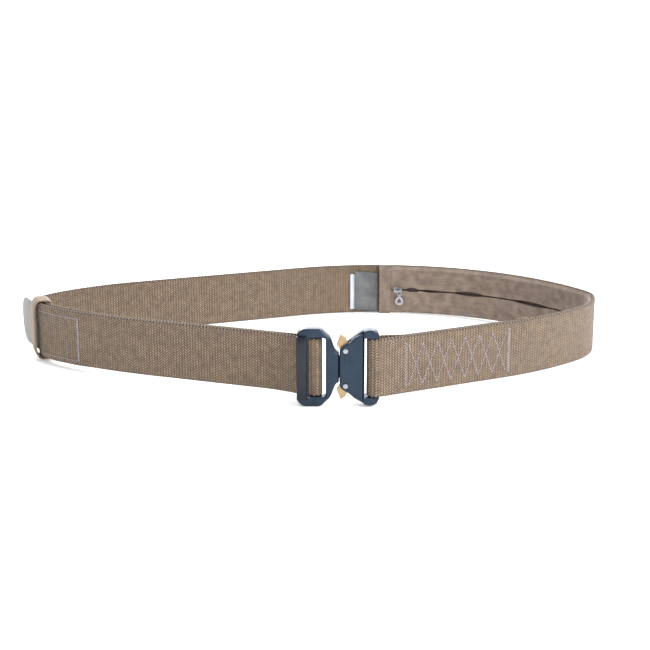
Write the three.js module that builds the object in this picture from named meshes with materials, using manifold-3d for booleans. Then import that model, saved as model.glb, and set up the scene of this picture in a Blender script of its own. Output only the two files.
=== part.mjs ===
// A webbing money belt, closed with a two-part metal quick-release buckle and standing on its
// edge. A strap of 38 mm webbing runs from the buckle's fixed half round the loop to its other
// half, turns back round an adjuster bar and ends in a tail held by a keeper loop. A fabric pocket
// with a zip is sewn along the strap's inner face on the right and at the back.
//
// Units are millimetres. The belt is drawn level, with +X to the right, -Y to the front, where
// the buckle is, and the webbing's lower edge at z = 0. The buckle reaches lower than the webbing,
// so the finished belt leans back until the buckle and the back of the strap stand on z = 0.

import * as THREE from 'three';
import { mergeVertices } from 'three/addons/utils/BufferGeometryUtils.js';
import Module from 'manifold-3d';

const wasm = await Module();
wasm.setup();

// ---------------------------------------------------------------- driving dimensions

const GAP = 0.3; // air between neighbours that touch on the real belt
const WEBBING = { height: 38, thickness: 2.2 };
const HALF_WEBBING = WEBBING.thickness / 2;
const MIDDLE_HEIGHT = WEBBING.height / 2;

const BUCKLE = { x: 8.2, y: -107, halfHeight: 25.5, halfDepth: 5, chamfer: 0.8 };
const PLATE = { thickness: 3.1, chamfer: 0.7 };
const MECHANISM = { halfDepth: 1.5 }; // the clips and the tongue, between the two plates

// The bar that the strap is sewn round, and the sliding bar that the adjustable end turns round,
// both in the buckle's own frame (x along the belt, y to the back).
const FIXED_BAR = { x: 23.6, y: 0, radius: 2.6, wrapRadius: 4.3 };
const ADJUSTER = { x: -14.3, y: 1.9, radius: 1.5, wrapRadius: 3.2, halfLength: 22, travel: 1 };

// The strap's middle line seen from above, anticlockwise from the fixed bar to the adjuster bar.
// The two straight stretches marked 'closing' are as long as it takes to meet the adjuster.
const START_HEADING = 26.4;
const END_HEADING = 340;
const STRAP_PIECES = [
  { name: 'front_right', length: 93 },
  { name: 'right_shoulder', radius: 216, turn: 19 },
  { name: 'right_side', radius: 54, turn: 39 },
  { name: 'right_corner', radius: 25, turn: 35.6 },
  { name: 'zip_arc', radius: 171, turn: 60 },
  { name: 'back_crown', radius: 161, turn: 21.4 },
  { name: 'back_left', length: 'closing' },
  { name: 'left_shoulder', radius: 170, turn: 17.4 },
  { name: 'left_side', radius: 106, turn: 12.2 },
  { name: 'left_fold', radius: 13.5, turn: 74 },
  { name: 'keeper_arc', radius: 80, turn: 21 },
  { name: 'front_left_arc', radius: 280, turn: 14 },
  { name: 'front_left', length: 'closing' },
];

const FOLD_END = { to: 97, spread: 24 }; // the sewn-back end of the strap, inside the front right
const LAYER = WEBBING.thickness + GAP; // pitch of two layers of webbing
const FREE_END = { radius: 150, turn: 15 }; // the tail's free end, past the strap's left fold
const TAIL = { start: 5, offset: 3.9, runOffset: LAYER, tabZone: 40, settle: 20, spread: 34 };
const PULL_TAB = { thickness: 1.1, offset: 1.95, height: 34, overlap: 38 };
// The keeper is a loose ring. It is turned a little from the strap, so it has its own heading.
// It reaches back from the end of the strap's left fold, and its walls stand inside and outside
// of that point.
const KEEPER = { wall: 1.4, width: 14.5, heading: 290, back: 4.5, inside: 5.5, outside: 5.5,
  endGap: 1 };

// The pocket's layers, as distances inward from the strap's middle line.
const POCKET = { from: 110, end: 388, panelBottom: 0.6, panelTop: 37.4, slit: 0.9 };
const PANEL = { offset: 3.6, thickness: 0.6 };
const END_STRIP = { offset: 4.65, thickness: 0.7, width: 9, overhang: 0.4 };
const ZIP = { from: 236, end: 384, tapeOffset: 1.75, tapeThickness: 0.5, tapeHeight: 6 };
const COIL = { offset: 1.9, thickness: 1, height: 1.2, clear: 0.1, start: 4, end: 3 };
const ZIP_STOP = { fromStart: 1.2, fromEnd: 2.6, length: 2.4, halfHeight: 1.3 };
const SLIDER = { length: 6.2, height: 5, at: 377.5 };
const LABEL = { from: 393.3, thickness: 0.5 };

// How finely the round parts and the bent bands are divided.
const SEGMENTS = { corner: 5, wrap: 10, post: 12, knuckle: 16, bar: 20 };
const STEP = { foldEnd: 5, tail: 12 }; // longest stretch between sections where a layer spreads
const WELD = 1e-4; // corners closer together than this are one corner

// Leaning back by this much, the belt stands on the buckle and on the pocket's back strip.
const LEAN = THREE.MathUtils.degToRad(1.7);
// Where the drawn belt's origin comes to rest, for the finished belt to be centred on x = y = 0.
const STAND = new THREE.Vector3(14, 2.72, 3.42);

// ---------------------------------------------------------------- routes seen from above

const radians = THREE.MathUtils.degToRad;

// A route is a chain of straight and round pieces. Offsets are to its right, which is the
// outside of the belt.
class Route {
  constructor(start, heading, pieces) {
    this.pieces = [];
    let point = start;
    let direction = radians(heading);
    let travelled = 0;
    for (const piece of pieces) {
      const turn = radians(piece.turn ?? 0);
      const length = piece.length ?? piece.radius * turn;
      const placed = { ...piece, turn, length, start: point, direction, from: travelled };
      this.pieces.push(placed);
      point = pointOnPiece(placed, length, 0);
      direction += turn;
      travelled += length;
    }
    this.end = point;
    this.length = travelled;
  }

  piece(name) {
    return this.pieces.find((piece) => piece.name === name);
  }

  pieceAt(distance) {
    const later = this.pieces.find((piece) => distance < piece.from + piece.length);
    return later ?? this.pieces.at(-1);
  }

  point(distance, offset = 0) {
    const piece = this.pieceAt(distance);
    return pointOnPiece(piece, distance - piece.from, offset);
  }

  heading(distance) {
    const piece = this.pieceAt(distance);
    return piece.direction + piece.turn * ((distance - piece.from) / piece.length);
  }

  // Distances at which a solid along the route gets a section: its ends, the ends of each piece,
  // and steps of at most the given angle round a bend or the given length.
  stations(from, to, maxTurn, maxStep) {
    const found = [from];
    for (const piece of this.pieces) {
      const low = Math.max(from, piece.from);
      const high = Math.min(to, piece.from + piece.length);
      if (high - low < 1e-6) continue;
      const share = (high - low) / piece.length;
      const steps = Math.ceil(Math.max((piece.turn * share) / maxTurn, (high - low) / maxStep, 1));
      for (let step = 1; step <= steps; step += 1) {
        found.push(low + ((high - low) * step) / steps);
      }
    }
    return found;
  }
}

function pointOnPiece(piece, along, offset) {
  const heading = piece.direction + piece.turn * (along / piece.length || 0);
  const right = new THREE.Vector2(Math.sin(heading), -Math.cos(heading));
  if (!piece.radius) {
    const ahead = new THREE.Vector2(Math.cos(heading), Math.sin(heading));
    return piece.start.clone().addScaledVector(ahead, along).addScaledVector(right, offset);
  }
  return pieceCentre(piece).addScaledVector(right, piece.radius + offset);
}

function pieceCentre(piece) {
  const right = new THREE.Vector2(Math.sin(piece.direction), -Math.cos(piece.direction));
  return piece.start.clone().addScaledVector(right, -piece.radius);
}

// Where the strap leaves each bar of the buckle.
function leavingPoint(bar, heading, side) {
  const angle = radians(heading);
  const right = new THREE.Vector2(Math.sin(angle), -Math.cos(angle));
  const centre = new THREE.Vector2(BUCKLE.x + bar.x, BUCKLE.y + bar.y);
  return centre.addScaledVector(right, side * bar.wrapRadius);
}

// Gives the two closing stretches the lengths that bring the route to its end.
function closedRoute(start, end) {
  const open = STRAP_PIECES.map((piece) => (
    piece.length === 'closing' ? { ...piece, length: 0 } : piece
  ));
  const draft = new Route(start, START_HEADING, open);
  const missing = end.clone().sub(draft.end);
  const [first, second] = STRAP_PIECES.filter((piece) => piece.length === 'closing')
    .map((piece) => draft.piece(piece.name));
  const across = Math.sin(second.direction - first.direction);
  const solve = (heading) => missing.x * Math.sin(heading) - missing.y * Math.cos(heading);
  const lengths = {
    [first.name]: solve(second.direction) / across,
    [second.name]: -solve(first.direction) / across,
  };
  const pieces = open.map((piece) => ({ ...piece, length: lengths[piece.name] ?? piece.length }));
  return new Route(start, START_HEADING, pieces);
}

const strap = closedRoute(
  leavingPoint(FIXED_BAR, START_HEADING, 1),
  leavingPoint(ADJUSTER, END_HEADING, -1),
);

// The tail lies outside the strap's last stretch. Where the strap folds back, the tail's free end
// runs on in a wide bend of its own.
const keeperArc = strap.piece('keeper_arc');
const freeHeading = THREE.MathUtils.radToDeg(keeperArc.direction) - FREE_END.turn;
const freeReach = new Route(new THREE.Vector2(), freeHeading, [FREE_END]).end;
const tail = new Route(keeperArc.start.clone().sub(freeReach), freeHeading, [
  { name: 'free_end', ...FREE_END },
  ...['keeper_arc', 'front_left_arc', 'front_left'].map((name) => {
    const { radius, length, turn } = strap.piece(name);
    return radius ? { name, radius, turn: THREE.MathUtils.radToDeg(turn) } : { name, length };
  }),
]);
const tailReach = tail.piece('keeper_arc').from;

function smooth(share) {
  return THREE.MathUtils.smoothstep(share, 0, 1);
}

// ---------------------------------------------------------------- shaping helpers

// A solid that follows a route, with a rectangular section.
function band(route, { from, to, offset = 0, thickness, bottom = 0, top = WEBBING.height,
  maxTurn = 3, maxStep = 1000 }) {
  const middle = typeof offset === 'function' ? offset : () => offset;
  const stations = route.stations(from, to, radians(maxTurn), maxStep);
  const outer = stations.map((at) => route.point(at, middle(at) + thickness / 2));
  const inner = stations.map((at) => route.point(at, middle(at) - thickness / 2));
  const shape = new THREE.Shape([...outer, ...inner.reverse()]);
  const settings = { depth: top - bottom, bevelEnabled: false };
  return new THREE.ExtrudeGeometry(shape, settings).translate(0, 0, bottom);
}

// Webbing turned round an upright bar, between two angles in degrees.
function wrap(bar, fromAngle, toAngle) {
  const shape = new THREE.Shape();
  shape.absarc(0, 0, bar.wrapRadius + HALF_WEBBING, radians(fromAngle), radians(toAngle), false);
  shape.absarc(0, 0, bar.wrapRadius - HALF_WEBBING, radians(toAngle), radians(fromAngle), true);
  const settings = { depth: WEBBING.height, bevelEnabled: false, curveSegments: SEGMENTS.wrap };
  return new THREE.ExtrudeGeometry(shape, settings)
    .translate(BUCKLE.x + bar.x, BUCKLE.y + bar.y, 0);
}

// A flat plate drawn as seen from the front (x, z) and filling y from front to back.
function plate(shape, front, back, chamfer = 0) {
  const geometry = new THREE.ExtrudeGeometry(shape, {
    depth: back - front - 2 * chamfer,
    bevelEnabled: chamfer > 0,
    bevelThickness: chamfer,
    bevelSize: chamfer,
    bevelOffset: -chamfer,
    bevelSegments: 1,
    curveSegments: SEGMENTS.corner,
  });
  return geometry.rotateX(Math.PI / 2).translate(0, back - chamfer, 0);
}

function box(x0, x1, y0, y1, z0, z1) {
  return new THREE.BoxGeometry(x1 - x0, y1 - y0, z1 - z0)
    .translate((x0 + x1) / 2, (y0 + y1) / 2, (z0 + z1) / 2);
}

// A closed outline through the given points, with its corners rounded by the given radius.
function roundedOutline(points, radius, Kind = THREE.Shape) {
  const outline = new Kind();
  const sideShare = 0.45; // the most of a side that one rounded corner takes
  points.forEach(([x, z], index) => {
    const corner = new THREE.Vector2(x, z);
    const before = new THREE.Vector2(...points.at(index - 1)).sub(corner);
    const after = new THREE.Vector2(...points[(index + 1) % points.length]).sub(corner);
    const reach = Math.min(radius, before.length() * sideShare, after.length() * sideShare);
    const enter = corner.clone().addScaledVector(before.normalize(), reach);
    const leave = corner.clone().addScaledVector(after.normalize(), reach);
    if (index === 0) outline.moveTo(enter.x, enter.y);
    else outline.lineTo(enter.x, enter.y);
    outline.quadraticCurveTo(corner.x, corner.y, leave.x, leave.y);
  });
  outline.closePath();
  return outline;
}

function mirrored(points) {
  return [...points, ...points.map(([x, z]) => [x, -z]).reverse()];
}

function solid(geometry) {
  const bare = geometry.clone();
  bare.deleteAttribute('normal');
  bare.deleteAttribute('uv');
  const merged = mergeVertices(bare, WELD);
  return new wasm.Manifold(new wasm.Mesh({
    numProp: 3,
    vertProperties: new Float32Array(merged.attributes.position.array),
    triVerts: new Uint32Array(merged.index.array),
  }));
}

function geometryOf(manifold) {
  const { numProp, vertProperties, triVerts } = manifold.getMesh();
  const positions = new Float32Array((vertProperties.length / numProp) * 3);
  for (let vertex = 0; vertex < positions.length / 3; vertex += 1) {
    for (let axis = 0; axis < 3; axis += 1) {
      positions[vertex * 3 + axis] = vertProperties[vertex * numProp + axis];
    }
  }
  const geometry = new THREE.BufferGeometry();
  geometry.setAttribute('position', new THREE.BufferAttribute(positions, 3));
  geometry.setIndex(new THREE.BufferAttribute(triVerts, 1));
  geometry.computeVertexNormals();
  return geometry;
}

function joined(...geometries) {
  return geometryOf(geometries.map(solid).reduce((whole, next) => whole.add(next)));
}

function cut(geometry, ...tools) {
  return geometryOf(tools.map(solid).reduce((left, tool) => left.subtract(tool), solid(geometry)));
}

// ---------------------------------------------------------------- materials

const finishes = {
  webbing: { color: 0x8c765f, roughness: 0.9 },
  pocket: { color: 0x9a8068, roughness: 0.85 },
  keeper: { color: 0xcfae90, roughness: 0.8 },
  pullTab: { color: 0xb0a394, roughness: 0.8 },
  anodised: { color: 0x343f4e, roughness: 0.45, metalness: 0.85 },
  clip: { color: 0xc7a069, roughness: 0.4, metalness: 0.9 },
  steel: { color: 0xb9bcc2, roughness: 0.3, metalness: 1 },
  zipTape: { color: 0x6f6470, roughness: 0.9 },
  careLabel: { color: 0xeceae4, roughness: 0.7 },
  blankLabel: { color: 0xb3b1ac, roughness: 0.75 },
};

const belt = new THREE.Group();
const buckle = new THREE.Group();
buckle.position.set(BUCKLE.x, BUCKLE.y, MIDDLE_HEIGHT);
belt.add(buckle);

function addPiece(parent, name, geometry, finish) {
  const material = new THREE.MeshStandardMaterial({ metalness: 0, ...finishes[finish] });
  const mesh = new THREE.Mesh(geometry, material);
  mesh.name = name;
  parent.add(mesh);
  return mesh;
}

// ---------------------------------------------------------------- the strap

function addStrap() {
  const zipArc = strap.piece('zip_arc');
  const crown = strap.piece('back_crown');
  const fold = strap.piece('left_fold');
  const flexible = 75; // the stretch before the keeper that bends when the buckle is pulled apart
  const straightShoulder = 25; // the part of the right shoulder that belongs to the front piece
  const bendStart = strap.piece('right_shoulder').from + straightShoulder;
  const stretches = [
    ['strap_front_right', 0, bendStart],
    ['strap_right_bend', bendStart, zipArc.from],
    ['strap_back_right', zipArc.from, crown.from],
    ['strap_back_left', crown.from, fold.from + fold.length - flexible],
    ['strap_left_bend', fold.from + fold.length - flexible, fold.from + fold.length],
    ['strap_front_left', fold.from + fold.length, strap.length],
  ];
  for (const [name, from, to] of stretches) {
    const shape = { from: from + GAP / 2, to: to - GAP / 2, thickness: WEBBING.thickness };
    addPiece(belt, name, band(strap, shape), 'webbing');
  }

  const wrapGap = 4; // degrees left free at each end of a wrap
  const fixedAngle = START_HEADING + 90;
  const fixedWrap = wrap(FIXED_BAR, fixedAngle + wrapGap, fixedAngle + 180 - wrapGap);
  addPiece(belt, 'strap_buckle_loop', fixedWrap, 'webbing');
  const adjusterAngle = END_HEADING - 90 - 360;
  const adjusterWrap = wrap(ADJUSTER, adjusterAngle + wrapGap, adjusterAngle + 180 - wrapGap);
  addPiece(belt, 'strap_adjuster_wrap', adjusterWrap, 'webbing');

  const spread = 2 * FIXED_BAR.wrapRadius - LAYER;
  addPiece(belt, 'strap_fold_end', band(strap, {
    from: GAP,
    to: FOLD_END.to,
    offset: (at) => -(LAYER + spread * (1 - smooth(at / FOLD_END.spread))),
    thickness: WEBBING.thickness,
    maxStep: STEP.foldEnd,
  }), 'webbing');
}

// The tail's middle line stands further out over the pull tab's sewn end and at the adjuster bar.
function tailOffset(at) {
  const sewnEnd = tailReach + TAIL.tabZone;
  const adjusterStart = tail.length - TAIL.spread;
  const atTab = (TAIL.offset - TAIL.runOffset) * (1 - smooth((at - sewnEnd) / TAIL.settle));
  const atBar = 2 * ADJUSTER.wrapRadius - TAIL.runOffset;
  return TAIL.runOffset + atTab + atBar * smooth((at - adjusterStart) / TAIL.spread);
}

function addTail() {
  addPiece(belt, 'tail_webbing', band(tail, {
    from: tailReach + TAIL.start,
    to: tail.length - GAP,
    offset: tailOffset,
    thickness: WEBBING.thickness,
    maxStep: STEP.tail,
  }), 'webbing');

  const lift = (WEBBING.height - PULL_TAB.height) / 2;
  addPiece(belt, 'tail_pull_tab', band(tail, {
    from: 0,
    to: tailReach + PULL_TAB.overlap,
    offset: PULL_TAB.offset,
    thickness: PULL_TAB.thickness,
    bottom: lift,
    top: WEBBING.height - lift,
  }), 'pullTab');
}

function addKeeper() {
  const spare = 5; // length of the axis drawn past both ends
  const overrun = 1; // how far the cut runs past both ends
  const heading = radians(KEEPER.heading);
  const back = new THREE.Vector2(-Math.cos(heading), -Math.sin(heading));
  const start = keeperArc.start.clone().addScaledVector(back, KEEPER.back + spare);
  const axis = new Route(start, KEEPER.heading, [{ name: 'axis', length: KEEPER.width + 2 * spare }]);
  const ring = (grow, extra) => band(axis, {
    from: spare - extra,
    to: spare + KEEPER.width + extra,
    offset: (KEEPER.outside - KEEPER.inside) / 2,
    thickness: KEEPER.outside + KEEPER.inside + 2 * grow,
    bottom: -KEEPER.endGap - grow,
    top: WEBBING.height + KEEPER.endGap + grow,
  });
  addPiece(belt, 'keeper_loop', cut(ring(KEEPER.wall, 0), ring(0, overrun)), 'keeper');
}

// ---------------------------------------------------------------- the pocket and its zip

function addPocket() {
  const half = POCKET.slit / 2;
  const panels = [
    ['pocket_panel_upper', MIDDLE_HEIGHT + half, POCKET.panelTop],
    ['pocket_panel_lower', POCKET.panelBottom, MIDDLE_HEIGHT - half],
  ];
  for (const [name, bottom, top] of panels) {
    addPiece(belt, name, band(strap, {
      from: POCKET.from,
      to: POCKET.end,
      offset: -PANEL.offset,
      thickness: PANEL.thickness,
      bottom,
      top,
    }), 'pocket');
  }
  const strips = [
    ['pocket_strip_front', POCKET.from - END_STRIP.width / 2],
    ['pocket_strip_back', POCKET.end - END_STRIP.width / 2],
  ];
  for (const [name, from] of strips) {
    addPiece(belt, name, band(strap, {
      from,
      to: from + END_STRIP.width,
      offset: -END_STRIP.offset,
      thickness: END_STRIP.thickness,
      bottom: -END_STRIP.overhang,
      top: WEBBING.height + END_STRIP.overhang,
    }), 'pocket');
  }
}

function addZip() {
  for (const [side, sign] of [['upper', 1], ['lower', -1]]) {
    const coilEdge = COIL.clear + COIL.height;
    const tapeEdges = [coilEdge + GAP, coilEdge + GAP + ZIP.tapeHeight];
    const coilEdges = [COIL.clear, coilEdge];
    const span = (edges) => {
      const heights = edges.map((edge) => MIDDLE_HEIGHT + sign * edge);
      return { bottom: Math.min(...heights), top: Math.max(...heights) };
    };
    addPiece(belt, `zip_tape_${side}`, band(strap, {
      from: ZIP.from,
      to: ZIP.end,
      offset: -ZIP.tapeOffset,
      thickness: ZIP.tapeThickness,
      ...span(tapeEdges),
    }), 'zipTape');
    addPiece(belt, `zip_coil_${side}`, band(strap, {
      from: ZIP.from + COIL.start,
      to: ZIP.end - COIL.end,
      offset: -COIL.offset,
      thickness: COIL.thickness,
      ...span(coilEdges),
    }), 'zipTape');
  }
  const stops = [
    ['zip_stop_end', ZIP.from + ZIP_STOP.fromStart],
    ['zip_stop_start', ZIP.end - ZIP_STOP.fromEnd],
  ];
  for (const [name, from] of stops) {
    addPiece(belt, name, band(strap, {
      from,
      to: from + ZIP_STOP.length,
      offset: -COIL.offset,
      thickness: COIL.thickness,
      bottom: MIDDLE_HEIGHT - ZIP_STOP.halfHeight,
      top: MIDDLE_HEIGHT + ZIP_STOP.halfHeight,
    }), 'steel');
  }
}

// The slider and its pull are drawn with x along the zip, y inward from the strap and z up.
const sliderAt = strap.point(SLIDER.at, 0);
const slider = new THREE.Group();
slider.position.set(sliderAt.x, sliderAt.y, MIDDLE_HEIGHT);
slider.rotation.z = strap.heading(SLIDER.at);
belt.add(slider);

const SLIDER_BODY = { top: [4.2, 5], saddle: [2.65, 3], neck: [2.9, 4.3], neckHalf: [1.2, 0.15],
  taper: 0.8, rim: 0.4, corner: 1.2 };
const CROWN = { footX: 1.3, footRadius: 0.45, foot: [4.9, 6.7], bar: [6.6, 7.2], barHalf: 0.5 };
const RING = { y: 5.9, thickness: 0.6, inner: 1.1, outer: 1.7, bottom: 4.05 };
const TAB = { thickness: 0.7, knuckleInner: 0.65, knuckleOuter: 1.15, knuckleHalf: 0.7,
  corner: 1.2, holeCorner: 0.8 };
const TAB_OUTLINE = [[1.3, -0.95], [-1.3, -0.95], [-3.1, -3.6], [-3.1, -6.4], [-1.5, -7.9],
  [1.5, -7.9], [3.1, -6.4], [3.1, -3.6]];
const TAB_HOLE = [[0, -2.4], [1.5, -4.6], [1.3, -6.1], [-1.3, -6.1], [-1.5, -4.6]];

function postAlongY(x, z, radius, front, back) {
  return new THREE.CylinderGeometry(radius, radius, back - front, SEGMENTS.post)
    .translate(x, (front + back) / 2, z);
}

function addSlider() {
  const halfLength = SLIDER.length / 2;
  const halfHeight = SLIDER.height / 2;
  const [neckHalfX, neckHalfZ] = SLIDER_BODY.neckHalf;
  const narrowEnd = halfHeight * SLIDER_BODY.taper;
  const topOutline = mirrored([[-halfLength, narrowEnd], [halfLength, halfHeight]]);
  const saddleX = halfLength - SLIDER_BODY.rim;
  const saddleZ = halfHeight - SLIDER_BODY.rim;
  const crownX = CROWN.footX + CROWN.barHalf;
  const body = joined(
    plate(roundedOutline(topOutline, SLIDER_BODY.corner), ...SLIDER_BODY.top),
    box(-neckHalfX, neckHalfX, ...SLIDER_BODY.neck, -neckHalfZ, neckHalfZ),
    box(-saddleX, saddleX, ...SLIDER_BODY.saddle, -saddleZ, saddleZ),
    postAlongY(-CROWN.footX, 0, CROWN.footRadius, ...CROWN.foot),
    postAlongY(CROWN.footX, 0, CROWN.footRadius, ...CROWN.foot),
    box(-crownX, crownX, ...CROWN.bar, -CROWN.barHalf, CROWN.barHalf),
  );
  addPiece(slider, 'zip_slider', body, 'steel');

  // The ring hangs on one of the crown's feet, with its lower bar straight.
  const loop = (Kind, halfWidth, bottom) => {
    const outline = new Kind();
    outline.moveTo(-halfWidth, -bottom);
    outline.lineTo(halfWidth, -bottom);
    outline.lineTo(halfWidth, 0);
    outline.absarc(0, 0, halfWidth, 0, Math.PI, false);
    outline.closePath();
    return outline;
  };
  const wire = RING.outer - RING.inner;
  const ringShape = loop(THREE.Shape, RING.outer, RING.bottom);
  ringShape.holes.push(loop(THREE.Path, RING.inner, RING.bottom - wire));
  const ring = plate(ringShape, RING.y - RING.thickness / 2, RING.y + RING.thickness / 2)
    .translate(-CROWN.footX, 0, 0);
  addPiece(slider, 'zip_pull_ring', ring, 'steel');

  // The tab's knuckle is closed round the ring's lower bar.
  const barZ = wire / 2 - RING.bottom;
  const knuckleProfile = [
    [TAB.knuckleInner, -TAB.knuckleHalf],
    [TAB.knuckleOuter, -TAB.knuckleHalf],
    [TAB.knuckleOuter, TAB.knuckleHalf],
    [TAB.knuckleInner, TAB.knuckleHalf],
    [TAB.knuckleInner, -TAB.knuckleHalf],
  ].map(([radius, along]) => new THREE.Vector2(radius, along));
  const knuckle = new THREE.LatheGeometry(knuckleProfile, SEGMENTS.knuckle).rotateZ(-Math.PI / 2)
    .translate(-CROWN.footX, RING.y, barZ);
  const tabShape = roundedOutline(TAB_OUTLINE, TAB.corner);
  tabShape.holes.push(roundedOutline(TAB_HOLE, TAB.holeCorner, THREE.Path));
  const tab = plate(tabShape, RING.y - TAB.thickness / 2, RING.y + TAB.thickness / 2)
    .translate(-CROWN.footX, 0, barZ);
  addPiece(slider, 'zip_pull_tab', joined(knuckle, tab), 'steel');
}

function addLabels() {
  const labels = [
    { name: 'care_label', offset: 1.7, width: 22, bottom: 3, top: 31, finish: 'careLabel' },
    { name: 'blank_label', offset: 2.5, width: 18.5, bottom: 2, top: 32.5, finish: 'blankLabel' },
  ];
  for (const { name, offset, width, bottom, top, finish } of labels) {
    addPiece(belt, name, band(strap, {
      from: LABEL.from,
      to: LABEL.from + width,
      offset: -offset,
      thickness: LABEL.thickness,
      bottom,
      top,
    }), finish);
  }
}

// ---------------------------------------------------------------- the buckle

// Upper halves of the outlines, seen from the front with x along the belt and z up.
const MALE_OUTLINE = [[-26.3, 21.5], [-22.5, 25.5], [-11, 25.5], [-8.3, 22.6], [-4.6, 19.2],
  [-2.8, 13.6], [-1.4, 10.6], [0.7, 9.2]];
const FEMALE_OUTLINE = [[1, 12], [2.8, 14.2], [6.9, 16.5], [10.9, 20.2], [15, 23.4], [19.8, 25],
  [24.2, 24], [26.3, 19.8]];
const TONGUE_OUTLINE = [[-3, 8.4], [1.5, 6.8], [10.8, 6.8], [10.8, 7.9], [12, 7.9], [14.6, 5.4]];
const CLIP_OUTLINE = [[1.1, 11.8], [-0.9, 14.6], [1.6, 21.4], [4.6, 19.4], [7, 14.4], [11, 14.2],
  [11, 10.4], [10.5, 8.2], [8.9, 8.2], [8, 9.4], [4, 8.6]];

// Rounding of each outline's corners.
const CORNER = { male: 2.6, tongue: 0.5, female: 1.6, cover: 2, clip: 0.7 };
const BAR_EMBED = 1; // how far a round bar's ends run into the metal that holds them
const BEYOND = 40; // past every outline, for cuts that run right out

const WINDOW = { left: -18.7, right: -7.7, halfHeight: 19.4, corner: 1.6 };
const SLOT = { left: 16.7, halfHeight: 19.6 };
const LEFT_BAR = { right: -19.7, front: -6, back: -1.8, corner: 1.8, embed: 1.4 };
const MALE_HALF_DEPTH = 4;
const COVER_CORNER = [16, 22.8];
const SHOE_HALF = { x: 2.6, y: 1.5 }; // the adjuster bar's square ends, which slide in the frame
// The housing's inside, from its open left side: each room reaches to x and to the half height z.
const ROOMS = [{ x: 7.2, z: BEYOND }, { x: 12.2, z: 17.6 }, { x: 15.2, z: 8.8 }];
const ROOM_FRONT = -2;
const RIVET = { x: 4.7, z: 11.5, radius: 1, hole: 1.35, clearance: 1.3, head: 1.65, headDepth: 0.5,
  overlap: 0.05 };

function roundBar({ x, y, radius }, halfLength) {
  return new THREE.CylinderGeometry(radius, radius, 2 * halfLength, SEGMENTS.bar)
    .rotateX(Math.PI / 2)
    .translate(x, y, 0);
}

function addMaleHalf() {
  const outline = roundedOutline(mirrored(MALE_OUTLINE), CORNER.male);
  outline.holes.push(roundedOutline([
    [WINDOW.left, -WINDOW.halfHeight],
    [WINDOW.right, -WINDOW.halfHeight],
    [WINDOW.right, WINDOW.halfHeight],
    [WINDOW.left, WINDOW.halfHeight],
  ], WINDOW.corner, THREE.Path));
  const frame = plate(outline, -MALE_HALF_DEPTH, MALE_HALF_DEPTH, BUCKLE.chamfer);
  const strapRoom = box(-BEYOND, WINDOW.left + WINDOW.corner, LEFT_BAR.back, BEYOND,
    -WINDOW.halfHeight, WINDOW.halfHeight);
  const barSection = roundedOutline([[MALE_OUTLINE[0][0], LEFT_BAR.front],
    [LEFT_BAR.right, LEFT_BAR.front], [LEFT_BAR.right, LEFT_BAR.back],
    [MALE_OUTLINE[0][0], LEFT_BAR.back]], LEFT_BAR.corner);
  const barLength = 2 * (WINDOW.halfHeight + LEFT_BAR.embed);
  const leftBar = new THREE.ExtrudeGeometry(barSection, {
    depth: barLength,
    bevelEnabled: false,
    curveSegments: SEGMENTS.corner,
  }).translate(0, 0, -barLength / 2);
  const tongue = plate(roundedOutline(mirrored(TONGUE_OUTLINE), CORNER.tongue),
    -MECHANISM.halfDepth, MECHANISM.halfDepth);
  const barRoom = ADJUSTER.travel + GAP;
  const track = box(ADJUSTER.x - SHOE_HALF.x - barRoom, ADJUSTER.x + SHOE_HALF.x + barRoom,
    ADJUSTER.y - SHOE_HALF.y - GAP, ADJUSTER.y + SHOE_HALF.y + GAP,
    -ADJUSTER.halfLength - GAP, ADJUSTER.halfLength + GAP);
  const whole = solid(frame).subtract(solid(strapRoom)).add(solid(leftBar)).add(solid(tongue))
    .subtract(solid(track));
  addPiece(buckle, 'male_frame', geometryOf(whole), 'anodised');

  const rod = roundBar(ADJUSTER, ADJUSTER.halfLength - BAR_EMBED);
  const shoe = (z0, z1) => box(ADJUSTER.x - SHOE_HALF.x, ADJUSTER.x + SHOE_HALF.x,
    ADJUSTER.y - SHOE_HALF.y, ADJUSTER.y + SHOE_HALF.y, z0, z1);
  const shoeStart = WINDOW.halfHeight + GAP;
  addPiece(buckle, 'adjuster_bar', joined(
    rod,
    shoe(shoeStart, ADJUSTER.halfLength),
    shoe(-ADJUSTER.halfLength, -shoeStart),
  ), 'anodised');
}

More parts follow.
